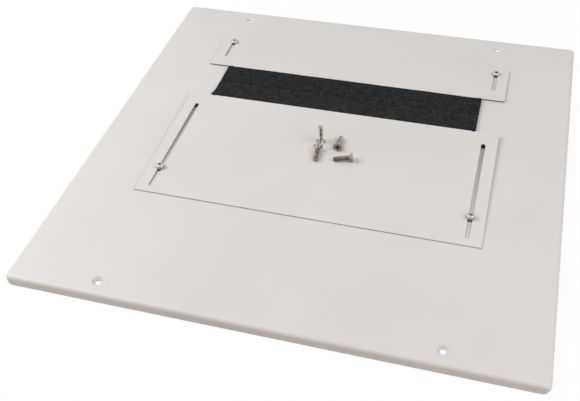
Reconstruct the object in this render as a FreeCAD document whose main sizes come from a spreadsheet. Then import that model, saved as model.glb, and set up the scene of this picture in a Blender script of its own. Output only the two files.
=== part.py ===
import FreeCAD
import Part
import Sketcher

import math
import os
import re

# Enclosure top plate, in millimetres.
# A folded steel tray, open below, carries two cover plates that slide along Y over a cable opening.
# Each cover has a folded lip with a foam strip on it, and the two strips meet across the opening.
# Origin: centre of the plate, at the level of the flange rims that it rests on. +Z is up.
# The cover that is nearer to -Y is called the front cover, the other one the rear cover.

# Each row is a name, its size and what it measures.
SIZES = (
    ("plate_width", 600, "top plate along X"),
    ("plate_depth", 600, "top plate along Y"),
    ("flange_height", 13, "height of the folded flange, and of the plate's top face"),
    ("plate_gauge", 2, "sheet thickness of the top plate"),
    ("flange_bend", 4.8, "outer radius of the bend between the face and the flange"),
    ("plate_corner", 6, "radius of the ground corners, seen from above"),
    ("flange_end_round", 7, "radius of the rounded flange ends at the corners, seen along a diagonal"),
    ("flange_end_gap", 0.6, "gap between the flange ends above that rounding"),
    ("opening_width", 365, "cable opening along X"),
    ("opening_depth", 252, "cable opening along Y"),
    ("opening_inset", 114, "from the plate's rear edge to the cable opening"),
    ("opening_corner", 4, "corner radius of the cable opening"),
    ("fixing_inset_side", 108, "from the sides of the plate to the fixing holes"),
    ("fixing_inset_front", 19.5, "from the plate's front edge to the front fixing holes"),
    ("fixing_inset_rear", 23, "from the plate's rear edge to the rear fixing holes"),
    ("fixing_hole", 7.5, "fixing hole diameter"),
    ("dimple_mouth", 13.5, "diameter of the pressed cone around a fixing hole, at the top face"),
    ("dimple_lip", 1, "straight stretch of the hole below the cone"),
    ("front_clamp_inset", 387.5, "from the plate's rear edge to the front clamp screws"),
    ("rear_clamp_inset", 91.5, "from the plate's rear edge to the rear clamp screws"),
    ("nut_window", 9.5, "side of the square hole that holds a caged nut"),
    ("cover_width", 426, "both cover plates along X"),
    ("cover_gauge", 1.5, "sheet thickness of the cover plates"),
    ("cover_corner", 1, "corner radius of the cover plates"),
    ("front_cover_depth", 203.5, "front cover along Y, without its lip"),
    ("front_closing_travel", 32.2, "how far the front cover can still close, until its screws stop it"),
    ("front_cover_lift", 3, "how far the seal holds up the lip side of the front cover"),
    ("rear_cover_depth", 77, "rear cover along Y, without its lip"),
    ("rear_closing_travel", 3, "how far the rear cover can still close, until its screws stop it"),
    ("rear_cover_lift", 0.8, "how far the foam holds up the lip side of the rear cover"),
    ("slot_width", 5.5, "width of the adjusting slots"),
    ("slot_inset_side", 17.5, "from the sides of a cover to the middle of its slots"),
    ("slot_margin_outer", 10, "from a cover's outer edge to its slots"),
    ("slot_margin_inner", 23, "from a cover's lip side to its slots"),
    ("lip_end_gap", 5, "from each end of a lip to the side of the opening"),
    ("lip_drop", 9, "height of the lip, from the cover's top face"),
    ("lip_stand", 1.2, "how far the lip stands out past the cover's plain edge"),
    ("lip_bend", 2, "outer radius of the lip's bend"),
    ("relief_width", 4, "width of the relief notch at each end of the lip"),
    ("relief_depth", 1, "depth of the relief notch, from the cover's plain edge"),
    ("foam_lip_gap", 0.1, "least gap between a foam strip and the lip that it is glued to"),
    ("foam_end_gap", 0.3, "from each end of a foam strip to the side of the opening"),
    ("seam_gap", 0.3, "gap between the two foam strips, halfway between the lips"),
    ("foam_base", 1.5, "underside of the foam strips, above the flange rims"),
    ("front_foam_rise_lip", 3.6, "front foam strip's top at its lip, above the plate's top face"),
    ("front_foam_rise_seam", 3.2, "front foam strip's top at the seam, above the plate's top face"),
    ("rear_foam_rise_seam", 3.2, "rear foam strip's top at the seam, above the plate's top face"),
    ("rear_foam_rise_lip", 3.8, "rear foam strip's top at its lip, above the plate's top face"),
    ("seal_inset_side", 7, "from the sides of the front cover to the ends of its foam seal"),
    ("seal_width", 21, "foam seal, along Y"),
    ("seal_setback", 6, "from the front cover's plain lip side to the seal"),
    ("seal_clearance", 0.3, "gap under the seal"),
    ("clamp_shank", 5, "clamp screw diameter"),
    ("clamp_length", 12, "clamp screw length below its head"),
    ("clamp_head", 9.5, "clamp screw head diameter"),
    ("clamp_head_height", 3.7, "clamp screw head height"),
    ("clamp_clearance", 0.1, "least gap under the clamp screw heads as the covers slide"),
    ("clamp_head_round", 1.6, "radius of the clamp screw head's upper edge"),
    ("clamp_recess_reach", 5.2, "cross recess of a clamp screw, tip to tip"),
    ("clamp_recess_blade", 1.1, "width of a blade of that recess"),
    ("clamp_recess_depth", 2, "depth of that recess"),
    ("thread_clearance", 0.05, "radial gap between a clamp screw and its nut"),
    ("nut_side", 8, "caged nut, across its flats"),
    ("nut_height", 4, "caged nut's height"),
    ("nut_chamfer", 0.5, "chamfer around a caged nut's bore"),
    ("nut_play", 0.15, "gap between a caged nut and the legs of its cage"),
    ("cage_gauge", 0.5, "sheet thickness of a nut cage"),
    ("cage_depth", 8, "nut cage along Y"),
    ("cage_drop", 5, "from the plate's lower face to the floor of a nut cage"),
    ("cage_leg_cover", 0.4, "from the end of a cage leg to the plate's top face"),
    ("cage_ear", 1.6, "how far a cage's ear reaches out under the plate"),
    ("cage_hole", 6.2, "hole in the floor of a nut cage"),
    ("fixing_shank", 6, "fixing screw diameter"),
    ("fixing_length", 25, "fixing screw length with its head"),
    ("fixing_head", 12, "fixing screw head diameter"),
    ("fixing_head_rim", 0.5, "straight rim of the fixing screw head"),
    ("fixing_point", 0.8, "chamfer at the end of a fixing screw"),
    ("fixing_recess_reach", 6.4, "cross recess of a fixing screw, tip to tip"),
    ("fixing_recess_blade", 1.4, "width of a blade of that recess"),
    ("fixing_recess_depth", 2.4, "depth of that recess"),
)

# Places and lengths that follow from the sizes.
REAR_EDGE = "plate_depth / 2"
OPENING_REAR = f"({REAR_EDGE} - opening_inset)"
OPENING_FRONT = f"({OPENING_REAR} - opening_depth)"
FRONT_HOLES = "(fixing_inset_front - plate_depth / 2)"
REAR_HOLES = f"({REAR_EDGE} - fixing_inset_rear)"
HOLES_SIDE = "(plate_width / 2 - fixing_inset_side)"
CLAMP_SIDE = "(cover_width / 2 - slot_inset_side)"
SLOT_REACH = "(slot_margin_outer + clamp_shank / 2)"
CLAMP_Y = {name: f"({REAR_EDGE} - {name}_clamp_inset)" for name in ("front", "rear")}
COVER_EDGE = {
    "front": f"({CLAMP_Y['front']} - front_closing_travel - {SLOT_REACH})",
    "rear": f"({CLAMP_Y['rear']} + rear_closing_travel + {SLOT_REACH})",
}
FACING = {"front": 1, "rear": -1}
LIP_LENGTH = "(opening_width - 2 * lip_end_gap)"

# The four fixing screws lie loose on the front cover. Each row is a name, the place of the middle
# of the head's face on the cover (along X, and along Y from the cover's outer edge), and the way
# from the head to the point, in degrees from X. The screw with no heading stands on its head.
LOOSE_SCREWS = (
    ("fixing_screw_standing", -8.7, 139.0, None),
    ("fixing_screw_left", -8.0, 123.5, -85.1),
    ("fixing_screw_middle", 16.7, 125.4, 92.8),
    ("fixing_screw_right", 39.8, 111.8, 193.2),
)

RIGHT_ANGLE = 90
COUNTERSINK_ANGLE = 90
RECESS_TAPER = 10
COLLAR_TAPER = COUNTERSINK_ANGLE / 2

# Slack in comparisons of places, in millimetres, and of directions.
SAME_PLACE = 0.001
BESIDE = 1
SAME_DIRECTION = 1e-6

doc = FreeCAD.newDocument("EnclosureTopPlate")
sheet = doc.addObject("Spreadsheet::Sheet", "Sizes")
parts = []


def fill_sheet():
    """Write each size on its own row: what it measures, and the number with its alias."""
    for row, (name, size, meaning) in enumerate(SIZES, start=1):
        sheet.set(f"A{row}", meaning)
        sheet.set(f"B{row}", str(size))
        sheet.setAlias(f"B{row}", name)
    doc.recompute()


def size(name):
    """A size, read back from the sheet."""
    return float(sheet.get(name))


def bind(item, prop, formula):
    """Bind a property to a formula in which each word that names a size stands for its cell."""
    names = {name for name, _, _ in SIZES}

    def cell(match):
        word = match.group(0)
        return f"Sizes.{word}" if word in names else word

    item.setExpression(prop, re.sub(r"[a-z_]+", cell, str(formula)))


def new_body(name):
    """A body for one piece. Its label is the piece's name."""
    body = doc.addObject("PartDesign::Body", name)
    body.Label = name
    parts.append(body)
    return body


def place(body, x="0 mm", y="0 mm", z="0 mm", tilt=None):
    """Bind a body's place, and its turn about X where it has one."""
    for axis, formula in (("x", x), ("y", y), ("z", z)):
        bind(body, f"Placement.Base.{axis}", formula)
    if tilt is not None:
        body.Placement.Rotation = FreeCAD.Rotation(FreeCAD.Vector(1, 0, 0), 1)
        bind(body, "Placement.Rotation.Angle", tilt)


def new_sketch(body, name, plane="XY_Plane", height=None):
    """A sketch on one of the body's own planes, moved along the plane's normal to height."""
    sketch = body.newObject("Sketcher::SketchObject", f"{body.Name}_{name}")
    support = [item for item in body.Origin.OriginFeatures if item.Role == plane][0]
    sketch.AttachmentSupport = [(support, "")]
    sketch.MapMode = "FlatFace"
    if height is not None:
        bind(sketch, "AttachmentOffset.Base.z", height)
    return sketch


def hold(sketch, geometry, point, x, y):
    """Fix a point of a sketch's geometry at x, y, both given as formulas."""
    for kind, formula in (("DistanceX", x), ("DistanceY", y)):
        number = sketch.addConstraint(Sketcher.Constraint(kind, -1, 1, geometry, point, 1.0))
        bind(sketch, f"Constraints[{number}]", formula)


def polygon(sketch, corners):
    """A closed outline of straight lines through corners, each an x and a y formula."""
    count = len(corners)
    turn = 2 * math.pi / count
    starts = [FreeCAD.Vector(math.cos(turn * i), math.sin(turn * i), 0) for i in range(count)]
    first = sketch.GeometryCount
    for i in range(count):
        sketch.addGeometry(Part.LineSegment(starts[i], starts[(i + 1) % count]), False)
    for i in range(count):
        following = first + (i + 1) % count
        sketch.addConstraint(Sketcher.Constraint("Coincident", first + i, 2, following, 1))
    for i, (x, y) in enumerate(corners):
        hold(sketch, first + i, 1, x, y)


def rectangle(sketch, left, right, low, high):
    """A rectangle between two x formulas and two y formulas."""
    polygon(sketch, ((left, low), (right, low), (right, high), (left, high)))


def circle(sketch, x, y, radius):
    """A circle whose middle and radius are formulas."""
    arc = Part.Circle(FreeCAD.Vector(0, 0, 0), FreeCAD.Vector(0, 0, 1), 1.0)
    geometry = sketch.addGeometry(arc, False)
    hold(sketch, geometry, 3, x, y)
    number = sketch.addConstraint(Sketcher.Constraint("Radius", geometry, 1.0))
    bind(sketch, f"Constraints[{number}]", radius)


def corner_notch(sketch, radius, gap, below):
    """The outline between two rounded flange ends that face each other.

    Two quarter circles rise from the rim to a short flat top, and straight lines close them below.
    """
    across = f"({gap} / 2 + {radius})"
    quarter = math.pi / 2
    for side, start, top, foot in ((1, 2 * quarter, 1, 2), (-1, 3 * quarter, 2, 1)):
        around = Part.Circle(FreeCAD.Vector(2 * side, 1, 0), FreeCAD.Vector(0, 0, 1), 1.0)
        arc = sketch.addGeometry(Part.ArcOfCircle(around, start, start + quarter), False)
        hold(sketch, arc, 3, f"{side} * {across}", radius)
        for constraint, formula in (
            (Sketcher.Constraint("Radius", arc, 1.0), radius),
            (Sketcher.Constraint("DistanceY", -1, 1, arc, top, 1.0), radius),
            (Sketcher.Constraint("DistanceX", -1, 1, arc, foot, 1.0), f"{side} * {across}"),
        ):
            number = sketch.addConstraint(constraint)
            bind(sketch, f"Constraints[{number}]", formula)
    for start, end in (((2, 0), (2, -1)), ((2, -1), (-2, -1)), ((-2, -1), (-2, 0)), ((-1, 1), (1, 1))):
        line = Part.LineSegment(FreeCAD.Vector(*start, 0), FreeCAD.Vector(*end, 0))
        sketch.addGeometry(line, False)
    right, left, down, base, up, flat = range(sketch.GeometryCount)
    chain = ((right, down), (down, base), (base, up), (up, left), (left, flat), (flat, right))
    for item, following in chain:
        sketch.addConstraint(Sketcher.Constraint("Coincident", item, 2, following, 1))
    hold(sketch, down, 2, across, f"-{below}")
    hold(sketch, up, 1, f"-{across}", f"-{below}")


def pad(body, sketch, length, reverse=False, midplane=False, taper=0):
    """Add the sketch's outline, length thick."""
    feature = body.newObject("PartDesign::Pad", f"{sketch.Name}_pad")
    feature.Profile = sketch
    feature.Reversed = reverse
    feature.Midplane = midplane
    feature.TaperAngle = taper
    bind(feature, "Length", length)
    doc.recompute()
    return feature


def pocket(body, sketch, length=None, reverse=False, taper=0):
    """Cut the sketch's outline away, length deep, or right through where no length is given."""
    before = body.Shape.Volume
    feature = body.newObject("PartDesign::Pocket", f"{sketch.Name}_cut")
    feature.Profile = sketch
    feature.Reversed = reverse
    feature.TaperAngle = taper
    if length is None:
        feature.Type = "ThroughAll"
        feature.Midplane = True
    else:
        bind(feature, "Length", length)
    doc.recompute()
    if not body.Shape.Volume < before:
        raise RuntimeError(f"{feature.Name} cuts nothing")
    return feature


def revolution(body, sketch):
    """Turn the sketch's outline about its own vertical axis."""
    feature = body.newObject("PartDesign::Revolution", f"{sketch.Name}_turned")
    feature.Profile = sketch
    feature.ReferenceAxis = (sketch, ["V_Axis"])
    feature.Angle = 360
    doc.recompute()
    return feature


def edges_of(feature, chosen):
    """Names of the edges of a feature's shape for which chosen(edge) is true."""
    edges = enumerate(feature.Shape.Edges, start=1)
    return [f"Edge{number}" for number, edge in edges if chosen(edge)]


def fillet(body, feature, chosen, radius, name):
    """Round the chosen edges."""
    rounded = body.newObject("PartDesign::Fillet", f"{body.Name}_{name}")
    rounded.Base = (feature, edges_of(feature, chosen))
    bind(rounded, "Radius", radius)
    doc.recompute()
    return rounded


def is_along(edge, axis):
    """True for a straight edge along one of the axes: 0 is X, 1 is Y and 2 is Z."""
    if not isinstance(edge.Curve, Part.Line):
        return False
    return abs(abs(edge.Curve.Direction[axis]) - 1) < SAME_DIRECTION


def is_at_height(edge, height):
    """True for an edge that lies whole at a height."""
    box = edge.BoundBox
    return abs(box.ZMin - height) < SAME_PLACE and abs(box.ZMax - height) < SAME_PLACE


def cross_corners(reach, blade):
    """Corners of a cross: four blades of a width, reach from tip to tip."""
    long = f"{reach} / 2"
    short = f"{blade} / 2"
    quarter = ((long, short), (short, short), (short, long))
    back = tuple(reversed(quarter))
    corners = []
    for x_sign, y_sign, points in ((1, 1, quarter), (-1, 1, back), (-1, -1, quarter), (1, -1, back)):
        for x, y in points:
            corners.append((f"{x_sign} * {x}", f"{y_sign} * {y}"))
    return corners


def make_top_plate():
    """The folded tray with its opening, dimpled fixing holes and square nut windows."""
    body = new_body("top_plate")
    outline = new_sketch(body, "outline")
    rectangle(outline, "-plate_width / 2", "plate_width / 2", "-plate_depth / 2", "plate_depth / 2")
    block = pad(body, outline, "flange_height")
    corners = fillet(body, block, lambda edge: is_along(edge, 2), "plate_corner", "corners")
    height = size("flange_height")
    folded = fillet(body, corners, lambda edge: is_at_height(edge, height), "flange_bend", "bend")

    tray = body.newObject("PartDesign::Thickness", "top_plate_tray")
    faces = enumerate(folded.Shape.Faces, start=1)
    underside = [f"Face{number}" for number, face in faces if face.BoundBox.ZMax < SAME_PLACE]
    tray.Base = (folded, underside)
    tray.Reversed = True
    bind(tray, "Value", "plate_gauge")
    doc.recompute()

    round_flange_ends(body)
    opening = new_sketch(body, "opening", height="flange_height")
    rectangle(opening, "-opening_width / 2", "opening_width / 2", OPENING_FRONT, OPENING_REAR)
    opened = pocket(body, opening, "2 * plate_gauge")

    def is_opening_corner(edge):
        inside = abs(edge.BoundBox.Center.x) < size("opening_width") / 2 + BESIDE
        return inside and is_along(edge, 2)

    fillet(body, opened, is_opening_corner, "opening_corner", "opening_corners")
    make_dimples(body)
    windows = new_sketch(body, "nut_windows", height="flange_height")
    half = "nut_window / 2"
    for row_y in CLAMP_Y.values():
        for side in ("-", ""):
            middle = f"{side}{CLAMP_SIDE}"
            limits = (f"{middle} - {half}", f"{middle} + {half}", f"{row_y} - {half}", f"{row_y} + {half}")
            rectangle(windows, *limits)
    pocket(body, windows, "2 * plate_gauge")
    place(body)


def round_flange_ends(body):
    """Round off the ends of the flanges, with one cut along each diagonal of the plate."""
    for name, turn in (("rising_diagonal", RIGHT_ANGLE / 2), ("falling_diagonal", -RIGHT_ANGLE / 2)):
        notch = new_sketch(body, name, plane="XZ_Plane")
        upright = FreeCAD.Rotation(FreeCAD.Vector(0, 1, 0), turn)
        notch.AttachmentOffset = FreeCAD.Placement(FreeCAD.Vector(0, 0, 0), upright)
        corner_notch(notch, "flange_end_round", "flange_end_gap", "plate_gauge")
        pocket(body, notch)


def make_dimples(body):
    """Press a cone around each fixing hole: a collar below the sheet, then the countersunk hole."""
    offset = math.tan(math.radians(COUNTERSINK_ANGLE / 4))
    cone_depth = "(dimple_mouth - fixing_hole) / 2"
    collars = new_sketch(body, "collars", height="flange_height - plate_gauge")
    holes = new_sketch(body, "fixing_holes", height="flange_height")
    for x in (f"-{HOLES_SIDE}", HOLES_SIDE):
        for y in (FRONT_HOLES, REAR_HOLES):
            circle(collars, x, y, f"dimple_mouth / 2 + {offset} * plate_gauge")
            circle(holes, x, y, "fixing_hole / 2")
    pad(body, collars, f"{cone_depth} + dimple_lip - plate_gauge", reverse=True, taper=-COLLAR_TAPER)
    before = body.Shape.Volume
    hole = body.newObject("PartDesign::Hole", "top_plate_countersinks")
    hole.Profile = holes
    doc.recompute()
    hole.Threaded = False
    hole.DepthType = "ThroughAll"
    hole.HoleCutType = "Countersink"
    hole.HoleCutCustomValues = True
    bind(hole, "Diameter", "fixing_hole")
    bind(hole, "HoleCutDiameter", "dimple_mouth")
    hole.HoleCutCountersinkAngle = COUNTERSINK_ANGLE
    doc.recompute()
    if not body.Shape.Volume < before:
        raise RuntimeError("the fixing holes cut nothing")


def make_cover(row):
    """A cover plate, drawn from its outer edge (y = 0) to its lip side (y = depth), face up."""
    body = new_body(f"{row}_cover")
    facing = FACING[row]
    depth = f"{row}_cover_depth"
    half_lip = f"{LIP_LENGTH} / 2"
    sheet_outline = new_sketch(body, "outline")
    half = "cover_width / 2"
    notch = f"{depth} - relief_depth"
    right = (
        (half, "0 mm"),
        (half, depth),
        (f"{half_lip} + relief_width", depth),
        (f"{half_lip} + relief_width", notch),
    )
    left = tuple((f"-({x})", y) for x, y in reversed(right))
    polygon(sheet_outline, [(x, f"{facing} * ({y})") for x, y in right + left])
    flat = pad(body, sheet_outline, "cover_gauge")

    def is_outer_corner(edge):
        outside = abs(edge.BoundBox.Center.x) > size("cover_width") / 2 - SAME_PLACE
        return outside and is_along(edge, 2)

    fillet(body, flat, is_outer_corner, "cover_corner", "corners")

    lip = new_sketch(body, "lip", plane="YZ_Plane")
    tip = f"{depth} + lip_stand"
    bottom = "cover_gauge - lip_drop"
    profile = (
        (f"{notch} - relief_depth", "0 mm"),
        (f"{tip} - cover_gauge", "0 mm"),
        (f"{tip} - cover_gauge", bottom),
        (tip, bottom),
        (tip, "cover_gauge"),
        (f"{notch} - relief_depth", "cover_gauge"),
    )
    polygon(lip, [(f"{facing} * ({y})", z) for y, z in profile])
    folded = pad(body, lip, LIP_LENGTH, midplane=True)
    tip_y = facing * (size(depth) + size("lip_stand"))
    inner_y = tip_y - facing * size("cover_gauge")

    def is_line_at(edge, y, z):
        box = edge.BoundBox
        near = abs(box.Center.y - y) < SAME_PLACE and abs(box.Center.z - z) < SAME_PLACE
        return is_along(edge, 0) and near and box.XLength > size("opening_width") / 2

    outer = fillet(
        body, folded, lambda edge: is_line_at(edge, tip_y, size("cover_gauge")), "lip_bend", "bend"
    )
    fillet(body, outer, lambda edge: is_line_at(edge, inner_y, 0), "lip_bend - cover_gauge", "inner_bend")

    sides = new_sketch(body, "slot_sides")
    ends = new_sketch(body, "slot_ends")
    radius = "slot_width / 2"
    first = "slot_margin_outer + slot_width / 2"
    last = f"{depth} - slot_margin_inner - slot_width / 2"
    for side in ("-", ""):
        middle = f"{side}{CLAMP_SIDE}"
        limits = (f"{facing} * ({first})", f"{facing} * ({last})")
        rectangle(sides, f"{middle} - {radius}", f"{middle} + {radius}", *limits)
        for y in limits:
            circle(ends, middle, y, radius)
    pocket(body, sides)
    pocket(body, ends)
    angle = f"{facing} * atan({row}_cover_lift / {depth})"
    place(body, y=COVER_EDGE[row], z="flange_height", tilt=angle)


def lip_face(row):
    """How far a lip's face reaches in Y. The lip leans with its cover, so its lower edge is first."""
    depth = f"{row}_cover_depth"
    angle = f"atan({row}_cover_lift / {depth})"
    reach = f"(({depth} + lip_stand) * cos({angle}) + (lip_drop - cover_gauge) * sin({angle}))"
    return f"({COVER_EDGE[row]} + {FACING[row]} * {reach})"


def make_foam_strip(row):
    """A foam strip glued to a lip, as far as the seam, with its ends close to the opening's sides."""
    body = new_body(f"{row}_foam_strip")
    section = new_sketch(body, "section", plane="YZ_Plane")
    lip_y = f"{lip_face(row)} + {FACING[row]} * foam_lip_gap"
    seam_y = f"({lip_face('front')} + {lip_face('rear')}) / 2 - {FACING[row]} * seam_gap / 2"
    corners = (
        (lip_y, "foam_base"),
        (seam_y, "foam_base"),
        (seam_y, f"flange_height + {row}_foam_rise_seam"),
        (lip_y, f"flange_height + {row}_foam_rise_lip"),
    )
    polygon(section, corners)
    pad(body, section, "opening_width - 2 * foam_end_gap", midplane=True)
    place(body)


def make_seal():
    """The foam seal under the front cover: a wedge between the tilted cover and the plate."""
    body = new_body("front_cover_seal")
    section = new_sketch(body, "section", plane="YZ_Plane")
    near = "(front_cover_depth - seal_setback - seal_width)"
    far = "(front_cover_depth - seal_setback)"
    slope = "front_cover_lift / front_cover_depth"
    corners = (
        (near, f"seal_clearance - {near} * {slope}"),
        (far, f"seal_clearance - {far} * {slope}"),
        (far, "0 mm"),
        (near, "0 mm"),
    )
    polygon(section, corners)
    pad(body, section, "cover_width - 2 * seal_inset_side", midplane=True)
    angle = "atan(front_cover_lift / front_cover_depth)"
    place(body, y=COVER_EDGE["front"], z="flange_height", tilt=angle)


def cut_recess(body, reach, blade, depth, height):
    """Cut a cross recess into a screw head, down from height."""
    sketch = new_sketch(body, "recess", height=height)
    polygon(sketch, cross_corners(reach, blade))
    pocket(body, sketch, depth, taper=-RECESS_TAPER)


def make_clamp_screw(name, row, x, y):
    """A pan head screw, drawn from the underside of its head.

    It is slackened, so that the raised lip side of its cover passes under the head.
    """
    body = new_body(name)
    profile = new_sketch(body, "profile", plane="XZ_Plane")
    corners = (
        ("0 mm", "-clamp_length"),
        ("clamp_shank / 2", "-clamp_length"),
        ("clamp_shank / 2", "0 mm"),
        ("clamp_head / 2", "0 mm"),
        ("clamp_head / 2", "clamp_head_height"),
        ("0 mm", "clamp_head_height"),
    )
    polygon(profile, corners)
    turned = revolution(body, profile)
    top = size("clamp_head_height")
    fillet(body, turned, lambda edge: is_at_height(edge, top), "clamp_head_round", "head_edge")
    cut_recess(body, "clamp_recess_reach", "clamp_recess_blade", "clamp_recess_depth", "clamp_head_height")
    depth = f"{row}_cover_depth"
    raised = f"{row}_cover_lift * ({depth} - slot_margin_inner + clamp_head / 2) / {depth}"
    place(body, x=x, y=y, z=f"flange_height + cover_gauge + {raised} + clamp_clearance")


def make_caged_nut(name, x, y):
    """A square nut with a chamfered bore, resting on the floor of its cage."""
    body = new_body(name)
    outline = new_sketch(body, "outline")
    half = "nut_side / 2"
    rectangle(outline, f"-{half}", half, f"-{half}", half)
    circle(outline, "0 mm", "0 mm", "clamp_shank / 2 + thread_clearance")
    blank = pad(body, outline, "nut_height")
    chamfer = body.newObject("PartDesign::Chamfer", f"{name}_bore_chamfer")
    chamfer.Base = (blank, edges_of(blank, lambda edge: isinstance(edge.Curve, Part.Circle)))
    bind(chamfer, "Size", "nut_chamfer")
    doc.recompute()
    place(body, x=x, y=y, z="flange_height - plate_gauge - cage_drop + cage_gauge")


def make_nut_cage(name, x, y):
    """The spring cage: a floor, two legs that stand in the square window, and two ears below it."""
    body = new_body(name)
    section = new_sketch(body, "section", plane="XZ_Plane")
    inner = "(nut_side / 2 + nut_play)"
    outer = f"({inner} + cage_gauge)"
    ear = f"({outer} + cage_ear)"
    leg_top = "(cage_drop + plate_gauge - cage_leg_cover)"
    right = (
        (inner, "cage_gauge"),
        (inner, leg_top),
        (outer, leg_top),
        (outer, "cage_drop"),
        (ear, "cage_drop"),
        (ear, "cage_drop - cage_gauge"),
        (outer, "cage_drop - cage_gauge"),
        (outer, "0 mm"),
    )
    left = tuple((f"-{x_formula}", z_formula) for x_formula, z_formula in reversed(right))
    polygon(section, right + left)
    pad(body, section, "cage_depth", midplane=True)
    hole = new_sketch(body, "hole")
    circle(hole, "0 mm", "0 mm", "cage_hole / 2")
    pocket(body, hole, "cage_gauge", reverse=True)
    place(body, x=x, y=y, z="flange_height - plate_gauge - cage_drop")


def make_clamps():
    """A clamp screw, its nut and the nut's cage at each of the four slots."""
    for row, y in CLAMP_Y.items():
        for side, sign in (("left", "-"), ("right", "")):
            x = f"{sign}{CLAMP_SIDE}"
            make_clamp_screw(f"clamp_screw_{row}_{side}", row, x, y)
            make_caged_nut(f"caged_nut_{row}_{side}", x, y)
            make_nut_cage(f"nut_cage_{row}_{side}", x, y)


def make_fixing_screw(name, x, along, heading):
    """A countersunk screw, drawn from the middle of its head's face, with its point towards -Z."""
    body = new_body(name)
    profile = new_sketch(body, "profile", plane="XZ_Plane")
    shank = "fixing_shank / 2"
    head = "fixing_head / 2"
    corners = (
        ("0 mm", "0 mm"),
        ("0 mm", "-fixing_length"),
        (f"{shank} - fixing_point", "-fixing_length"),
        (shank, "-fixing_length + fixing_point"),
        (shank, f"-fixing_head_rim - {head} + {shank}"),
        (head, "-fixing_head_rim"),
        (head, "0 mm"),
    )
    polygon(profile, corners)
    revolution(body, profile)
    cut_recess(body, "fixing_recess_reach", "fixing_recess_blade", "fixing_recess_depth", "0 mm")
    place_on_front_cover(body, x, along, heading)


def place_on_front_cover(body, x, along, heading):
    """Lay a loose fixing screw on the top face of the tilted front cover.

    Standing, it rests on the face of its head. Lying, it rests on the rim of its head and on the
    end of its shank, so its axis dips towards the point.
    """
    tilt = math.degrees(math.atan(size("front_cover_lift") / size("front_cover_depth")))
    cover_turn = FreeCAD.Rotation(FreeCAD.Vector(1, 0, 0), tilt)
    if heading is None:
        turn = FreeCAD.Rotation(FreeCAD.Vector(1, 0, 0), 2 * RIGHT_ANGLE)
        height = size("cover_gauge")
    else:
        rim_radius = size("fixing_head") / 2
        end_radius = size("fixing_shank") / 2
        end_distance = size("fixing_length") - size("fixing_point")
        dip = math.degrees(math.atan((rim_radius - end_radius) / end_distance))
        height = size("cover_gauge") + rim_radius * math.cos(math.radians(dip))
        laid_down = FreeCAD.Rotation(FreeCAD.Vector(0, 1, 0), dip - RIGHT_ANGLE)
        turn = FreeCAD.Rotation(FreeCAD.Vector(0, 0, 1), heading).multiply(laid_down)
    middle = cover_turn.multVec(FreeCAD.Vector(x, along, height))
    body.Placement.Rotation = cover_turn.multiply(turn)
    place(body, x=middle.x, y=f"{COVER_EDGE['front']} + {middle.y}", z=f"flange_height + {middle.z}")


def check_and_write():
    """Stop if anything failed, then write one STEP file for each piece."""
    doc.recompute()
    for item in doc.Objects:
        if {"Invalid", "Error"} & set(item.State):
            raise RuntimeError(f"{item.Name} failed: {item.State}")
    for body in parts:
        if body.Shape.isNull() or not body.Shape.isValid() or len(body.Shape.Solids) != 1:
            raise RuntimeError(f"{body.Label} is not one valid solid")
    os.makedirs("parts", exist_ok=True)
    for body in parts:
        body.Shape.exportStep(f"parts/{body.Label}.step")
        box = body.Shape.BoundBox
        print(f"{body.Label}: {body.Shape.Volume:.1f} mm3, z {box.ZMin:.2f} to {box.ZMax:.2f}")


fill_sheet()
make_top_plate()
for cover_row in FACING:
    make_cover(cover_row)
    make_foam_strip(cover_row)
make_seal()
make_clamps()
for screw in LOOSE_SCREWS:
    make_fixing_screw(*screw)
check_and_write()
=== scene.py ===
"""Looks of a square enclosure top plate: a powder-coated steel tray with two sliding cover plates,
black foam between their lips, clamp screws in their slots and four loose countersunk screws."""

import math

import bpy
import numpy as np
from mathutils import Matrix, Vector


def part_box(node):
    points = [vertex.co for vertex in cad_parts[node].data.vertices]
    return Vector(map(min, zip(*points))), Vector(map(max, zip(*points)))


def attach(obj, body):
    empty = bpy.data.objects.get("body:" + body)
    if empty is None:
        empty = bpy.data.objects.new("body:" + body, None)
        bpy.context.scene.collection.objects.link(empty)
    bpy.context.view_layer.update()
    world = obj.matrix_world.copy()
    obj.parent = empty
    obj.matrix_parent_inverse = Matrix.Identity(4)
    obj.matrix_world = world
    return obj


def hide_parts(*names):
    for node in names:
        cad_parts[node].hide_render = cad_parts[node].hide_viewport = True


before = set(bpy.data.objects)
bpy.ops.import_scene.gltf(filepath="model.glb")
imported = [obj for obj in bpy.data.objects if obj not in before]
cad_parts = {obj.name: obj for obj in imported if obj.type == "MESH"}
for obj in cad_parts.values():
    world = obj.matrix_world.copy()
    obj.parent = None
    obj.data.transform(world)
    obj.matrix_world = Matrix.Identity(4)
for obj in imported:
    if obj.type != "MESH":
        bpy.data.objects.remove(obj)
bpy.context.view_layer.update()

MM = 0.001

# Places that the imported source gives, in millimetres.
PLATE_TOP = 13.0
COVER_GAUGE = 1.5
FRONT_COVER_EDGE = -132.2  # Y of its outer lower edge
FRONT_COVER_DEPTH = 203.5
FRONT_COVER_LIFT = 3.0  # how far its lip side is held up


# The camera.

CAMERA_PLACE = (0.2059, -0.7958, 0.7027)
CAMERA_AZIMUTH = 18.033
CAMERA_ELEVATION = 43.552
CAMERA_ROLL = -3.185
SENSOR = 36.0
LENS = 51.23


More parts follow.
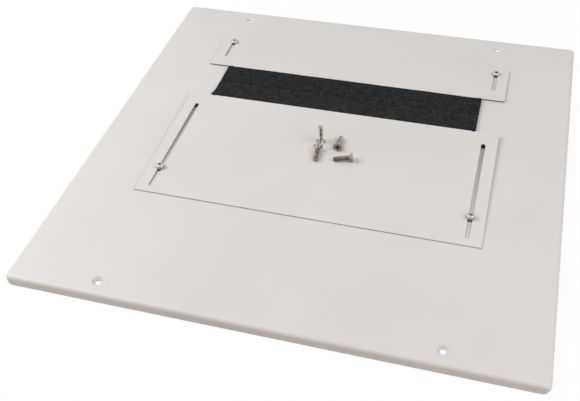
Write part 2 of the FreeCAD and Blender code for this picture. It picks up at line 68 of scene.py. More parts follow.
def put_camera():
    """The camera looks down on the plate from the front right."""
    data = bpy.data.cameras.new("camera")
    data.sensor_fit = "HORIZONTAL"
    data.sensor_width = SENSOR
    data.lens = LENS
    data.clip_start = 0.01
    data.clip_end = 50
    camera = bpy.data.objects.new("camera", data)
    bpy.context.scene.collection.objects.link(camera)
    turn = Matrix.Rotation(math.radians(CAMERA_AZIMUTH), 3, "Z")
    nod = Matrix.Rotation(math.radians(90 - CAMERA_ELEVATION), 3, "X")
    roll = Matrix.Rotation(math.radians(CAMERA_ROLL), 3, "Z")
    camera.rotation_euler = (turn @ nod @ roll).to_euler()
    camera.location = CAMERA_PLACE
    bpy.context.scene.camera = camera


# The finishes.


def linear(hex_colour):
    """Linear RGBA of an sRGB hex colour."""
    values = np.array([int(hex_colour[i:i + 2], 16) for i in (1, 3, 5)]) / 255
    low = values / 12.92
    high = ((values + 0.055) / 1.055) ** 2.4
    return (*np.where(values <= 0.04045, low, high).tolist(), 1.0)


def node(tree, kind, links=(), values=None, stops=None, **settings):
    """Add a node: settings are its properties, values go to its inputs and links feed them.

    stops are a colour ramp's places, from 0 to 1, each with a hex colour or a number for a grey.
    Inputs go by name or by number: a colour mix has its factor at 0 and its colours at 6 and 7,
    and gives the mixed colour at output 2.
    """
    made = tree.nodes.new(kind)
    for name, value in settings.items():
        setattr(made, name, value)
    for name, value in (values or {}).items():
        made.inputs[name].default_value = value
    for name, source in links:
        tree.links.new(source, made.inputs[name])
    for number, (place, colour) in enumerate(stops or ()):
        elements = made.color_ramp.elements
        stop = elements[number] if number < 2 else elements.new(place)
        stop.position = place
        stop.color = linear(colour) if isinstance(colour, str) else (colour, colour, colour, 1.0)
    return made


def material(name, **shader):
    """A new material, its node tree, its principled shader and the place on the piece.

    The shader's sockets are named with _ for each blank.
    """
    made = bpy.data.materials.new(name)
    made.use_nodes = True
    tree = made.node_tree
    principled = tree.nodes["Principled BSDF"]
    for socket, value in shader.items():
        principled.inputs[socket.replace("_", " ")].default_value = value
    place = node(tree, "ShaderNodeTexCoord").outputs["Object"]
    return made, tree, principled, place


def per_mm(spacing):
    """A texture's scale for features that are spacing millimetres apart."""
    return 1 / (spacing * MM)


def powder_coat(name, edge_coat_and_shade_tones=None):
    """Polyester powder coat on sheet steel, warm light grey, sprayed and baked.

    The eye sees a satin skin with a faint orange peel. The real peel is under 1 mm wide and is
    drawn 2.2 mm wide, so that it shows. The tone drifts a little over hands' breadths. Along a
    sharp cut edge the coat draws back and leaves a thin darker line; beyond that, the upright faces
    of the flat covers are painted darker as painted shade, for edge faces turned from the lamps and
    the shadowed gap under a lifted edge.
    """
    made, tree, shader, place = material(name)
    drift = node(
        tree, "ShaderNodeTexNoise", [("Vector", place)], {"Scale": per_mm(140), "Detail": 2.0}
    ).outputs["Fac"]
    tone = node(tree, "ShaderNodeValToRGB", [("Fac", drift)], stops=COAT_TONES)
    colour = tone.outputs["Color"]
    # Upright faces get darker tones: partly the thin coat on a cut edge, partly painted shade.
    if edge_coat_and_shade_tones:
        facing = node(tree, "ShaderNodeNewGeometry").outputs["True Normal"]
        up = node(tree, "ShaderNodeSeparateXYZ", [("Vector", facing)]).outputs["Z"]
        upright = node(tree, "ShaderNodeMath", [(0, up)], operation="ABSOLUTE").outputs[0]
        edge = node(tree, "ShaderNodeValToRGB", [("Fac", upright)], stops=UPRIGHT_FACES)
        thin = node(tree, "ShaderNodeValToRGB", [("Fac", drift)], stops=edge_coat_and_shade_tones)
        links = [(0, edge.outputs["Color"]), (6, colour), (7, thin.outputs["Color"])]
        colour = node(tree, "ShaderNodeMix", links, data_type="RGBA").outputs[2]
    tree.links.new(colour, shader.inputs["Base Color"])
    peel = node(
        tree, "ShaderNodeTexNoise", [("Vector", place)],
        {"Scale": per_mm(2.2), "Detail": 3.0, "Roughness": 0.55},
    ).outputs["Fac"]
    gloss = node(tree, "ShaderNodeValToRGB", [("Fac", peel)], stops=((0.3, 0.38), (0.7, 0.47)))
    tree.links.new(gloss.outputs["Color"], shader.inputs["Roughness"])
    bump = node(tree, "ShaderNodeBump", [("Height", peel)], {"Strength": 0.25, "Distance": 0.06 * MM})
    tree.links.new(bump.outputs["Normal"], shader.inputs["Normal"])
    return made


# 1 where a face's normal is less than some 6 degrees off level, 0 from some 17 degrees on.
UPRIGHT_FACES = ((0.1, 1.0), (0.3, 0.0))

COAT_TONES = ((0.3, "#DCD6D2"), (0.7, "#E0DAD6"))
# The covers' upright faces: partly thin coat, partly painted shade. The rear cover's are darker, painted
# shade of the gap under its lifted front edge.
FRONT_COVER_EDGE_COAT_AND_SHADE = ((0.3, "#96918B"), (0.7, "#A8A39D"))
REAR_COVER_EDGE_COAT_AND_SHADE = ((0.3, "#67625E"), (0.7, "#7A7570"))


def foam_skin(name, tones):
    """Black open-cell polyurethane foam, cut to strips.

    The eye sees matt charcoal with darker pits. Real cells are about 0.6 mm wide and are drawn
    1.8 mm wide. Their contrast comes and goes over patches of 9 mm. tones are those of the pits
    and of the cell walls.
    """
    made, tree, shader, place = material(name, Roughness=0.95, Specular_IOR_Level=0.1)
    cells = node(tree, "ShaderNodeTexVoronoi", [("Vector", place)], {"Scale": per_mm(1.8)})
    pits = cells.outputs["Distance"]
    patches = node(
        tree, "ShaderNodeTexNoise", [("Vector", place)],
        {"Scale": per_mm(9), "Detail": 4.0, "Roughness": 0.6},
    ).outputs["Fac"]
    spread = node(tree, "ShaderNodeMath", [(0, pits), (1, patches)], operation="MULTIPLY").outputs[0]
    tone = node(tree, "ShaderNodeValToRGB", [("Fac", spread)], stops=tones)
    tree.links.new(tone.outputs["Color"], shader.inputs["Base Color"])
    bump = node(tree, "ShaderNodeBump", [("Height", pits)], {"Strength": 0.8, "Distance": 0.4 * MM})
    tree.links.new(bump.outputs["Normal"], shader.inputs["Normal"])
    return made


# The rear strip is painted a little darker, as painted shade.
FRONT_FOAM_TONES = ((0.08, "#151516"), (0.4, "#353536"))
REAR_FOAM_SHADED_TONES = ((0.08, "#121315"), (0.4, "#313335"))


def metal(name, patch_mm, tones, grain_mm, gloss_range, shade_tones=None, shade_share=0.0):
    """A metal whose tone wanders over patches, with a fine grain and painted shade in its recesses.

    The painted shade, a darker colour, follows a mesh attribute where a mesh has one, from 0 on
    open faces to 1 where the shade is deepest. gloss_range is the roughness at the grain's low and high
    places.
    """
    made, tree, shader, place = material(name, Metallic=1.0)
    patches = node(
        tree, "ShaderNodeTexNoise", [("Vector", place)], {"Scale": per_mm(patch_mm), "Detail": 3.0}
    ).outputs["Fac"]
    tone = node(tree, "ShaderNodeValToRGB", [("Fac", patches)], stops=tones)
    colour = tone.outputs["Color"]
    grain = node(
        tree, "ShaderNodeTexNoise", [("Vector", place)], {"Scale": per_mm(grain_mm), "Detail": 3.0}
    ).outputs["Fac"]
    # Painted shade: dark tones mixed in where the mesh's shade attribute asks, for recesses, thread roots
    # and under heads.
    if shade_tones:
        painted_shade = node(tree, "ShaderNodeAttribute", attribute_name="painted_shade").outputs["Fac"]
        share = node(
            tree, "ShaderNodeMath", [(0, painted_shade)], {1: shade_share}, operation="MULTIPLY"
        ).outputs[0]
        dark_shade = node(tree, "ShaderNodeValToRGB", [("Fac", grain)], stops=shade_tones)
        links = [(0, share), (6, colour), (7, dark_shade.outputs["Color"])]
        colour = node(tree, "ShaderNodeMix", links, data_type="RGBA").outputs[2]
    tree.links.new(colour, shader.inputs["Base Color"])
    low, high = gloss_range
    gloss = node(tree, "ShaderNodeValToRGB", [("Fac", grain)], stops=((0.25, low), (0.75, high)))
    tree.links.new(gloss.outputs["Color"], shader.inputs["Roughness"])
    bump = node(tree, "ShaderNodeBump", [("Height", grain)], {"Strength": 0.2, "Distance": 0.03 * MM})
    tree.links.new(bump.outputs["Normal"], shader.inputs["Normal"])
    return made


def bright_zinc():
    """Electroplated zinc with a clear blue passivation, on small screws and nuts.

    The eye sees a satin cool metal whose tint wanders from a pale blue green to a faint straw.
    A dark blue green is painted into the recess, the thread and under the head as painted shade. The
    patches are some 3.5 mm wide, and the plated grain is drawn 0.35 mm wide.
    """
    return metal(
        "zinc_plate_blue_passivated", patch_mm=3.5,
        tones=((0.3, "#98ABAF"), (0.5, "#B9C5C8"), (0.72, "#C4C5BD")),
        # Painted shade: the dark blue green tones mixed in where the shade attribute asks.
        shade_tones=((0.3, "#243032"), (0.7, "#465657")), shade_share=0.92,
        grain_mm=0.35, gloss_range=(0.26, 0.42),
    )


def stainless():
    """Cold-formed stainless steel with rolled threads, tumbled clean.

    The eye sees a warm grey metal with soft highlights; its thread roots and recesses are darkened
    with painted shade. The tone drifts over some 8 mm. The tumbling leaves a dull grain, drawn 0.3 mm
    wide.
    """
    return metal(
        "stainless_steel_rolled", patch_mm=8,
        tones=((0.35, "#8A837B"), (0.52, "#A8A198"), (0.68, "#C6BFB5")),
        # Painted shade: the dark tones mixed into the thread roots and the recess.
        shade_tones=((0.3, "#2E2B28"), (0.7, "#55514B")), shade_share=0.85,
        grain_mm=0.3, gloss_range=(0.2, 0.34),
    )


def spring_steel():
    """Hardened spring strip with a dull zinc flake coat, on the nut cages.

    The eye sees a flat silver grey with a speckle from the flakes, drawn 0.5 mm wide.
    """
    return metal(
        "spring_steel_zinc_flake", patch_mm=0.5, tones=((0.3, "#7F8182"), (0.7, "#A2A4A4")),
        grain_mm=0.5, gloss_range=(0.42, 0.6),
    )


# Surfaces, worked out on grids of points.


def closed_skin(name, rings, start, end, finish, smooth_angle=40, painted_shade=None):
    """A closed surface in millimetres.

    rings[i, j] is point j of ring i. Points run anticlockwise seen from the last ring, each ring is
    joined to the next and to itself, and a fan to the start and the end point closes it. The last
    argument is the painted shade of each ring point, from 0 to 1, kept as a mesh attribute. The end point
    is at 1.
    """
    rows, columns, _ = rings.shape
    corner = np.arange(rows * columns).reshape(rows, columns)
    beside = np.roll(corner, -1, axis=1)
    quads = np.stack((corner[:-1], beside[:-1], beside[1:], corner[1:]), axis=-1).reshape(-1, 4)
    first = np.full(columns, rows * columns)
    low_fan = np.stack((first, beside[0], corner[0]), axis=-1)
    high_fan = np.stack((first + 1, corner[-1], beside[-1]), axis=-1)
    points = np.concatenate((rings.reshape(-1, 3), [start, end])) * MM
    mesh = bpy.data.meshes.new(name)
    mesh.from_pydata(points.tolist(), [], quads.tolist() + low_fan.tolist() + high_fan.tolist())
    mesh.shade_smooth()
    mesh.set_sharp_from_angle(angle=math.radians(smooth_angle))
    mesh.materials.append(finish)
    # Painted shade: each point's share is kept as a mesh attribute, which the metal's colour reads.
    if painted_shade is not None:
        layer = mesh.attributes.new("painted_shade", "FLOAT", "POINT")
        layer.data.foreach_set("value", np.concatenate((painted_shade.ravel(), [0.0, 1.0])).astype(np.float32))
    made = bpy.data.objects.new(name, mesh)
    bpy.context.scene.collection.objects.link(made)
    return made


def move(made, matrix):
    """Turn and shift a piece's mesh, and leave its object at the origin."""
    made.data.transform(matrix)
    made.data.update()


def joins(made, body, slot_name, *stands_for):
    """The piece rides on a body and stands for CAD nodes, which it hides. slot_name is not used."""
    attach(made, body)
    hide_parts(*stands_for)
    return made


def smooth_step(x):
    """0 below 0, 1 above 1, and a smooth rise between."""
    x = np.clip(x, 0, 1)
    return x * x * (3 - 2 * x)


def cross_radius(angle, reach, blade):
    """Distance from the middle to the outline of a cross, reach tip to tip, in the direction angle.

    Folded to the nearest blade, it is the blade's end (half reach over the cosine) or its side
    (half blade over the sine), whichever is nearer.
    """
    folded = np.abs((angle + np.pi / 4) % (np.pi / 2) - np.pi / 4)
    end = reach / 2 / np.cos(folded)
    side = blade / 2 / np.maximum(np.sin(folded), 1e-6)
    return np.minimum(end, side)


def cross_angles(reach, blade):
    """Directions around a screw, with one at each corner of its cross recess."""
    corner = math.atan2(blade, reach)
    side = np.linspace(corner, np.pi / 4, 6)[:-1]
    far_side = -np.pi / 4 + np.linspace(0, np.pi / 4 - corner, 6)[:-1]
    quarter = np.concatenate((far_side, [-corner, 0], side))
    return np.concatenate([quarter + k * np.pi / 2 for k in range(4)])


def thread_groove(angle, height, pitch):
    """How deep a metric thread is cut, as a share from 0 at the crest to 1 at the root.

    Along a helix of that pitch the profile is a flat crest, a straight flank, a flat root and a
    straight flank.
    """
    phase = (height / pitch - angle / (2 * np.pi)) % 1.0
    crest = np.abs(2 * phase - 1)
    return 1 - np.clip((crest - 0.25) / 0.625, 0, 1)


THREAD_ROWS = 12  # rings for each turn of thread
THREAD_DEPTH = 0.6  # of the pitch
RECESS_MOUTH = 0.3  # how much wider the recess is at the head's face, in millimetres
RECESS_TAPER = 0.12  # how far each side leans in, for each millimetre of depth
THREAD_SHADE = 0.85  # painted shade in the thread's root, as a share of that in the recess


def screw_rings(low, thread_top, radius, pitch, point, head, recess):
    """Rings of a screw from its point up to the floor of its cross recess.

    The shank is a cylinder less the thread's groove, which fades out at both ends, with a chamfer
    of point at its tip. head is the outline above it, as rows of radius and height. recess is
    reach, blade and depth: the head's face falls into a cross that narrows downwards and ends in a
    cone. Returned are the rings, the start and the end point, and each ring point's painted shade.
    """
    reach, blade, depth = recess
    angle = cross_angles(reach, blade)
    rows = int((thread_top - low) / pitch * THREAD_ROWS)
    height = np.linspace(low, thread_top, rows)[:, None]
    fade = smooth_step((height - low) / (1.2 * pitch)) * smooth_step((thread_top - height) / (1.5 * pitch))
    threaded = height < thread_top - 0.2 * pitch
    cut = thread_groove(angle, height, pitch) * (0.25 + 0.75 * fade) * threaded
    chamfer = np.minimum(radius, radius - point + (height - low))
    shank = np.minimum(radius - THREAD_DEPTH * pitch * cut, chamfer)
    above, level = head[:, :1] + 0 * angle, head[:, 1:] + 0 * angle
    top = head[-1, 1]
    mouth = cross_radius(angle, reach + RECESS_MOUTH, blade + RECESS_MOUTH)
    narrower = 2 * depth * RECESS_TAPER
    inner = cross_radius(angle, reach - narrower, blade - narrower)
    mouths = np.stack((mouth * 1.05, mouth, 0.3 * mouth + 0.7 * inner, inner, 0.55 * inner))
    drops = top - depth * np.array([0, 0.04, 0.15, 0.8, 0.93])[:, None] + 0 * angle
    radii = np.concatenate((shank, above, mouths))
    levels = np.concatenate((height + 0 * angle, level, drops))
    rings = np.stack((radii * np.cos(angle), radii * np.sin(angle), levels), axis=-1)
    # Painted shade in the cross recess, from none at its mouth to full at its floor.
    dark_shade = np.array([0, 0.3, 0.8, 1, 1])[:, None] + 0 * angle
    painted_shade = np.concatenate((THREAD_SHADE * cut, 0 * above, dark_shade))
    return rings, (0, 0, low), (0, 0, top - depth), painted_shade


def arc(middle, radius, start, end, count):
    """Rows of radius and height along an arc about middle, between two angles in degrees."""
    angle = np.radians(np.linspace(start, end, count))
    return np.stack((middle[0] + radius * np.cos(angle), middle[1] + radius * np.sin(angle)), axis=-1)


def cellular(points, cell, seed):
    """Distance from each point to the nearest of scattered seeds, one per cubic cell, over the cell.

    Each seed's place in its cell is a hash of the cell's three numbers.
    """
    scaled = points / cell
    base = np.floor(scaled)
    nearest = np.full(points.shape[:-1], 9.0)
    for offset in np.ndindex(3, 3, 3):
        cube = base + np.array(offset) - 1
        key = cube @ np.array([127.1, 311.7, 74.7]) + seed
        hashes = [np.modf(np.abs(np.sin(key + k)) * 43758.5453)[0] for k in (0.0, 1.7, 4.3)]
        jitter = np.stack(hashes, axis=-1)
        nearest = np.minimum(nearest, np.linalg.norm(cube + jitter - scaled, axis=-1))
    return nearest


FOAM_STEP = 0.75  # between the surface's points, in millimetres
PIT_SPACING = 1.7
PIT_REACH = 0.62  # of the spacing, from a pit's seed to its rim
FOAM_WAVES = ((0.10, 17, 1), (0.07, 6.1, 2))  # height, wavelength over 2 pi, and phase in seeds


def foam_block(name, section, half_length, rounding, pit_depth, finish, seed, swells=True):
    """A strip of cut foam along X. section is its corners as y and z, anticlockwise seen from +X.

    The section's outline is walked at an even step and averaged over the rounding, which rounds its
    corners. It is carried along X and shrinks to nothing over each end face. Each point is moved in
    towards the strip's middle line by the pit depth where a cell's seed is near, and the top rises
    and falls in two low sine waves.
    """
    corners = np.array(section, float)
    sides = np.roll(corners, -1, axis=0) - corners
    counts = np.maximum((np.linalg.norm(sides, axis=1) / FOAM_STEP).astype(int), 3)
    walks = [np.linspace(0, 1, count, endpoint=False)[:, None] for count in counts]
    outline = np.concatenate([corner + side * walk for corner, side, walk in zip(corners, sides, walks)])
    reach = max(1, int(rounding / FOAM_STEP))
    outline = np.mean([np.roll(outline, k, axis=0) for k in range(-reach, reach + 1)], axis=0)
    middle = corners.mean(axis=0)

    shrink = np.linspace(0.06, 0.97, 14)
    along = np.linspace(-half_length + rounding, half_length - rounding, int(2 * half_length / FOAM_STEP))
    edge = np.radians(np.linspace(0, 90, 4))[:-1]
    low_x = np.concatenate((0 * shrink, rounding * (1 - np.cos(edge)))) - half_length
    size = np.concatenate((shrink, 1 - 0.03 * (1 - np.sin(edge))))
    x = np.concatenate((low_x, along, -low_x[::-1]))
    size = np.concatenate((size, np.ones(len(along)), size[::-1]))
    flat = middle + (outline[None] - middle) * size[:, None, None]
    rings = np.concatenate((np.broadcast_to(x[:, None, None], (*flat.shape[:2], 1)), flat), axis=-1)

    pits = np.clip(1 - cellular(rings, PIT_SPACING, seed) / PIT_REACH, 0, 1) ** 1.5
    wave = sum(rise * np.sin(rings[..., 0] / length + times * seed) for rise, length, times in FOAM_WAVES)
    top = smooth_step((rings[..., 2] - PLATE_TOP) / 0.6)
    outward = rings[..., 1:] - middle
    outward = outward / np.linalg.norm(outward, axis=-1, keepdims=True)
    rings[..., 1:] -= outward * (pit_depth * pits)[..., None]
    rings[..., 2] += wave * top
    rings[..., 0] -= np.sign(rings[..., 0]) * pit_depth * pits * (np.abs(rings[..., 0]) > half_length - 1)
    if swells:
        rings = swelling(rings, top)
    start = (x[0], *middle)
    end = (x[-1], *middle)
    return closed_skin(name, rings, start, end, finish, smooth_angle=80)


# The pieces.

# The swelling: along Y its middle and spread, from the middle along -X its start and rise, and how
# far it goes everywhere and by the lip, all in millimetres.
SWELLING_MIDDLE, SWELLING_SPREAD = 74.0, 7.0
SWELLING_START, SWELLING_RISE = 172.0, 10.0
SWELLING_ALL, SWELLING_BY_LIP = 0.5, 2.4

# Heights of the foam strips over the flange rims, and how far their sloped edges reach in.
FRONT_FOAM_FOOT, REAR_FOAM_FOOT = 1.5, 1.8
SEAM_TOP, SEAM_SHOULDER, SEAM_REACH = 16.2, 15.0, 0.9
FRONT_LIP_TOP, FRONT_LIP_SHOULDER, FRONT_LIP_REACH = 16.6, 15.2, 1.8
REAR_LIP_TOP = 16.8
FOAM_ROUNDING, FOAM_PIT_DEPTH = 0.8, 0.35

# The seal under the front cover, in that cover's own frame.
SEAL_NEAR, SEAL_FAR = 176.5, 197.5
SEAL_HALF_LENGTH = 206.0
SEAL_CLEARANCE, SEAL_GLUE_LINE = 0.3, 0.02
SEAL_ROUNDING, SEAL_PIT_DEPTH = 0.4, 0.2


def swelling(rings, top):
    """The strips' left ends swell out over the plate, most of all by the front lip.

    A point moves along -X by a constant plus a bell curve across the strips, times a smooth rise
    over the last centimetre before the end, and only above the plate.
    """
    near_lip = np.exp(-(((rings[..., 1] - SWELLING_MIDDLE) / SWELLING_SPREAD) ** 2))
    near_end = smooth_step((-rings[..., 0] - SWELLING_START) / SWELLING_RISE)
    rings[..., 0] -= (SWELLING_ALL + SWELLING_BY_LIP * near_lip) * near_end * top
    return rings


def make_foam():
    """The two foam strips between the lips, and the seal under the front cover's lip side."""
    front_foam = foam_skin("open_cell_foam_black_front", FRONT_FOAM_TONES)
    rear_foam = foam_skin("open_cell_foam_black_rear_shaded", REAR_FOAM_SHADED_TONES)
    front_low, front_high = (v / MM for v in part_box("front_foam_strip"))
    rear_low, rear_high = (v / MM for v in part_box("rear_foam_strip"))
    half = front_high.x
    section = (
        (front_low.y, FRONT_FOAM_FOOT), (front_high.y, FRONT_FOAM_FOOT),
        (front_high.y, SEAM_SHOULDER), (front_high.y - SEAM_REACH, SEAM_TOP),
        (front_low.y + FRONT_LIP_REACH, FRONT_LIP_TOP), (front_low.y, FRONT_LIP_SHOULDER),
    )
    strip = foam_block("foam_front", section, half, FOAM_ROUNDING, FOAM_PIT_DEPTH, front_foam, seed=3.0)
    joins(strip, "front_slider", "black_foam", "front_foam_strip")
    section = (
        (rear_low.y, REAR_FOAM_FOOT), (rear_high.y, REAR_FOAM_FOOT), (rear_high.y, REAR_LIP_TOP),
        (rear_low.y + SEAM_REACH, SEAM_TOP), (rear_low.y, SEAM_SHOULDER),
    )
    strip = foam_block("foam_rear", section, half, FOAM_ROUNDING, FOAM_PIT_DEPTH, rear_foam, seed=8.0)
    joins(strip, "rear_slider", "black_foam", "rear_foam_strip")

    slope = FRONT_COVER_LIFT / FRONT_COVER_DEPTH
    section = (
        (SEAL_NEAR, SEAL_CLEARANCE - SEAL_NEAR * slope), (SEAL_FAR, SEAL_CLEARANCE - SEAL_FAR * slope),
        (SEAL_FAR, -SEAL_GLUE_LINE), (SEAL_NEAR, -SEAL_GLUE_LINE),
    )
    seal = foam_block(
        "foam_seal", section, SEAL_HALF_LENGTH, SEAL_ROUNDING, SEAL_PIT_DEPTH, front_foam, seed=5.0,
        swells=False,
    )
    move(seal, front_cover_frame())
    joins(seal, "front_slider", "black_foam", "front_cover_seal")


def front_cover_frame():
    """From the front cover's own frame, at the middle of its outer lower edge, to the row frame."""
    place = Matrix.Translation(Vector((0, FRONT_COVER_EDGE, PLATE_TOP)) * MM)
    return place @ Matrix.Rotation(math.atan(FRONT_COVER_LIFT / FRONT_COVER_DEPTH), 4, "X")


# Each clamp screw's place, and its turn in degrees.
CLAMP_SCREWS = (("front_left", 20), ("front_right", 50), ("rear_left", 70), ("rear_right", 5))
CLAMP_HEAD_HEIGHT = 3.7
CLAMP_RECESS = (5.2, 1.2, 2.0)  # reach, blade and depth
# Painted shade: its share well under the head, on the head's face within its radius, and in the recess.
CLAMP_SHADE_BELOW, CLAMP_SHADE_FACE, CLAMP_FACE_RADIUS, CLAMP_SHADE_RECESS = 0.45, 0.3, 3.9, 0.75


def make_clamp_screws(finish):
    """M5 pan head screws, each where its CAD node stands.

    Painted shade is darkest on the shank just under the head, lighter in the recess and lightest on
    the head's face.
    """
    head = np.concatenate((
        [[2.5, -0.3], [2.9, 0.0], [4.6, 0.0], [4.75, 0.15], [4.75, 2.0]],
        arc((3.15, 2.1), 1.6, 0, 80, 8),
        [[3.0, CLAMP_HEAD_HEIGHT]],
    ))
    rings, start, end, painted_shade = screw_rings(
        low=-12.0, thread_top=-0.6, radius=2.5, pitch=0.8, point=0.5, head=head, recess=CLAMP_RECESS
    )
    height = rings[..., 2]
    # Painted shade under the head: full on the shank just below it, fading to a lighter share further
    # down.
    close = smooth_step((height + 2.0) / 0.8)
    under_head = (height < -0.1) * (CLAMP_SHADE_BELOW + (1 - CLAMP_SHADE_BELOW) * close)
    inward = CLAMP_FACE_RADIUS - np.hypot(rings[..., 0], rings[..., 1])
    on_head = np.maximum(CLAMP_SHADE_RECESS * painted_shade, CLAMP_SHADE_FACE * smooth_step(inward / 0.8))
    painted_shade = np.where(height > 1, on_head, np.maximum(painted_shade, under_head))
    for place, turn in CLAMP_SCREWS:
        name = f"clamp_screw_{place}"
        made = closed_skin(f"clamp_{place}", rings, start, end, finish, painted_shade=painted_shade)
        low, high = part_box(name)
        middle = Vector(((low.x + high.x) / 2, (low.y + high.y) / 2, high.z - CLAMP_HEAD_HEIGHT * MM))
        move(made, Matrix.Translation(middle) @ Matrix.Rotation(math.radians(turn), 4, "Z"))
        joins(made, "plate", "zinc_plated_steel", name)


# Each loose screw: name, the middle of its head's face on the cover along X and along the cover, the
# way from head to point in degrees from X (none where it stands on its head), and its own roll.
LOOSE_SCREWS = (
    ("standing", -8.7, 139.0, None, 15),
    ("left", -8.0, 123.5, -85.1, 40),
    ("middle", 16.7, 125.4, 92.8, 0),
    ("right", 39.8, 111.8, 193.2, 25),
)
LOOSE_LENGTH, LOOSE_RADIUS, LOOSE_HEAD_RADIUS, LOOSE_POINT = 25.0, 3.0, 6.0, 0.8
LOOSE_RECESS = (6.8, 1.7, 2.4)  # reach, blade and depth


def make_loose_screws(finish):
    """M6 countersunk screws on the front cover, one on its head and three lying.

    A lying screw rests on the rim of its head and on the edge of its point, so it dips.
    """
    head = np.array((
        (LOOSE_RADIUS, -3.6), (3.1, -3.42), (5.95, -0.55), (LOOSE_HEAD_RADIUS, -0.45),
        (LOOSE_HEAD_RADIUS, -0.12), (5.88, 0.0), (4.4, 0.0),
    ))
    rings, start, end, painted_shade = screw_rings(
        low=-LOOSE_LENGTH, thread_top=-4.0, radius=LOOSE_RADIUS, pitch=1.0, point=LOOSE_POINT,
        head=head, recess=LOOSE_RECESS,
    )
    dip = math.atan((LOOSE_HEAD_RADIUS - LOOSE_RADIUS) / (LOOSE_LENGTH - LOOSE_POINT))
    for name, x, along, heading, roll in LOOSE_SCREWS:
        made = closed_skin(f"loose_screw_{name}", rings, start, end, finish, painted_shade=painted_shade)
        if heading is None:
            turn = Matrix.Rotation(math.pi, 4, "X")
            height = COVER_GAUGE
        else:
            height = COVER_GAUGE + LOOSE_HEAD_RADIUS * math.cos(dip)
            lie = Matrix.Rotation(dip - math.pi / 2, 4, "Y")
            turn = Matrix.Rotation(math.radians(heading), 4, "Z") @ lie
        roll = Matrix.Rotation(math.radians(roll), 4, "Z")
        place = Matrix.Translation(Vector((x, along, height)) * MM)
        move(made, front_cover_frame() @ place @ turn @ roll)
        joins(made, "front_slider", "stainless_steel", f"fixing_screw_{name}")


def paint_cad(finishes):
    """The sheet-metal pieces, nuts and cages keep their CAD shapes and get a finish."""
    for name, cad_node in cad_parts.items():
        kind = name if name in finishes else name.rsplit("_", 2)[0]
        if kind in finishes:
            cad_node.data.materials.clear()
            cad_node.data.materials.append(finishes[kind])


# Floor, light and background.


def seen_directly(tree):
    """1 for rays that come from the camera, a mirror or through glass, and 0 for the others."""
    path = node(tree, "ShaderNodeLightPath")
    mirrored = node(
        tree, "ShaderNodeMath", [(0, path.outputs["Is Camera Ray"]), (1, path.outputs["Is Glossy Ray"])],
        operation="ADD",
    )
    return node(
        tree, "ShaderNodeMath", [(0, mirrored.outputs[0]), (1, path.outputs["Is Transmission Ray"])],
        operation="ADD", use_clamp=True,
    ).outputs[0]


def stage_sheet(name, low, high, height, surface):
    """A level sheet of the stage between two corners, in metres, at a height."""
    mesh = bpy.data.meshes.new(name)
    around = ((low[0], low[1]), (high[0], low[1]), (high[0], high[1]), (low[0], high[1]))
    mesh.from_pydata([(x, y, height) for x, y in around], [], [(0, 1, 2, 3)])
    mesh.materials.append(surface)
    sheet = bpy.data.objects.new(name, mesh)
    bpy.context.scene.collection.objects.link(sheet)


FLOOR_GLOW = 0.92  # how much of the floor's white doesn't wait for light, seen directly
FLOOR_TONES = ((0.0, "#BEB5AD"), (1.0, "#FFFFFF"))  # for light that bounces, and seen directly
FLOOR_HEIGHT, SHADE_HEIGHT = -0.0004, -0.0002  # in metres, just under the flange rims


def put_floor():
    """A wide matt floor just under the flange rims. Seen directly it is mostly plain white.

    Under the cable opening lies a plain dark sheet, painted shade for the space under the plate, so
    that no white shows in the covers' notches.
    """
    made, tree, shader, _ = material("white_paper_floor", Roughness=1.0, Specular_IOR_Level=0.0)
    direct = seen_directly(tree)
    tone = node(tree, "ShaderNodeValToRGB", [("Fac", direct)], stops=FLOOR_TONES)
    tree.links.new(tone.outputs["Color"], shader.inputs["Base Color"])
    glow = node(tree, "ShaderNodeEmission", values={"Color": (1, 1, 1, 1), "Strength": 1.0})
    share = node(tree, "ShaderNodeMath", [(0, direct)], {1: FLOOR_GLOW}, operation="MULTIPLY")
    links = [("Fac", share.outputs[0]), (1, shader.outputs["BSDF"]), (2, glow.outputs["Emission"])]
    mixed = node(tree, "ShaderNodeMixShader", links)
    tree.links.new(mixed.outputs[0], tree.nodes["Material Output"].inputs["Surface"])
    stage_sheet("floor", (-12, -12), (12, 12), FLOOR_HEIGHT, made)
    # Painted shade: a dark sheet where the space under the plate lies in shadow.
    shade, _, _, _ = material(
        "shade_paper_under_opening", Base_Color=linear("#55524F"), Roughness=1.0, Specular_IOR_Level=0.0
    )
    stage_sheet("shade_sheet_under_opening", (-0.2, -0.08), (0.2, 0.2), SHADE_HEIGHT, shade)


WORLD_LIGHT = 0.345  # of the background's white


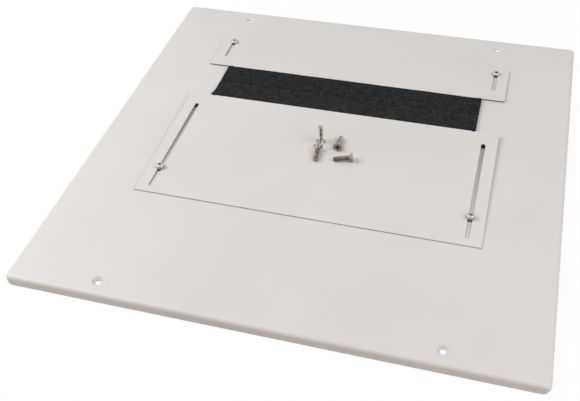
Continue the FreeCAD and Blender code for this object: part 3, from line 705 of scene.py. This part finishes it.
def put_world():
    """An even white surround, weaker as light than as background."""
    world = bpy.data.worlds.new("surround")
    bpy.context.scene.world = world
    world.use_nodes = True
    tree = world.node_tree
    tree.nodes.clear()
    light = node(tree, "ShaderNodeBackground", values={"Color": (1, 1, 1, 1), "Strength": WORLD_LIGHT})
    white = node(tree, "ShaderNodeBackground", values={"Color": (1, 1, 1, 1), "Strength": 1.0})
    links = [("Fac", seen_directly(tree)), (1, light.outputs[0]), (2, white.outputs[0])]
    mixed = node(tree, "ShaderNodeMixShader", links)
    node(tree, "ShaderNodeOutputWorld", [("Surface", mixed.outputs[0])])


def put_softbox(name, azimuth, elevation, distance, size, level, colour):
    """A square softbox aimed at the plate, with its azimuth counted from +X.

    level is the share of white that it gives a white level face: a lamp of power P gives it
    P sin(elevation) / (pi distance)^2.
    """
    a, e = math.radians(azimuth), math.radians(elevation)
    way = Vector((math.cos(a) * math.cos(e), math.sin(a) * math.cos(e), math.sin(e)))
    data = bpy.data.lights.new(name, "AREA")
    data.shape = "SQUARE"
    data.size = size
    data.energy = level * (math.pi * distance) ** 2 / math.sin(e)
    data.color = linear(colour)[:3]
    lamp = bpy.data.objects.new(name, data)
    bpy.context.scene.collection.objects.link(lamp)
    lamp.location = way * distance
    lamp.rotation_euler = (-way).to_track_quat("-Z", "Y").to_euler()


# Name, azimuth, elevation, distance, size, level and colour. The two low ones light the flanges.
SOFTBOXES = (
    ("key_left", 189, 44, 1.55, 1.0, 0.415, "#FBFEFF"),
    ("fill_right", -14, 44, 1.65, 1.0, 0.265, "#FFFFFF"),
    ("low_left", 225, 9, 1.1, 0.3, 0.006, "#FFFFFF"),
    ("low_right", -45, 8, 1.05, 0.3, 0.009, "#FFFFFF"),
)


def main():
    """Put the scene together."""
    bpy.context.scene.view_settings.view_transform = "Standard"
    put_camera()
    zinc = bright_zinc()
    paint_cad({
        "top_plate": powder_coat("powder_coat_warm_grey"),
        "front_cover": powder_coat("powder_coat_warm_grey_front_cover", FRONT_COVER_EDGE_COAT_AND_SHADE),
        "rear_cover": powder_coat("powder_coat_warm_grey_rear_cover", REAR_COVER_EDGE_COAT_AND_SHADE),
        "caged_nut": zinc,
        "nut_cage": spring_steel(),
    })
    make_foam()
    make_clamp_screws(zinc)
    make_loose_screws(stainless())
    put_floor()
    put_world()
    for softbox in SOFTBOXES:
        put_softbox(*softbox)


main()
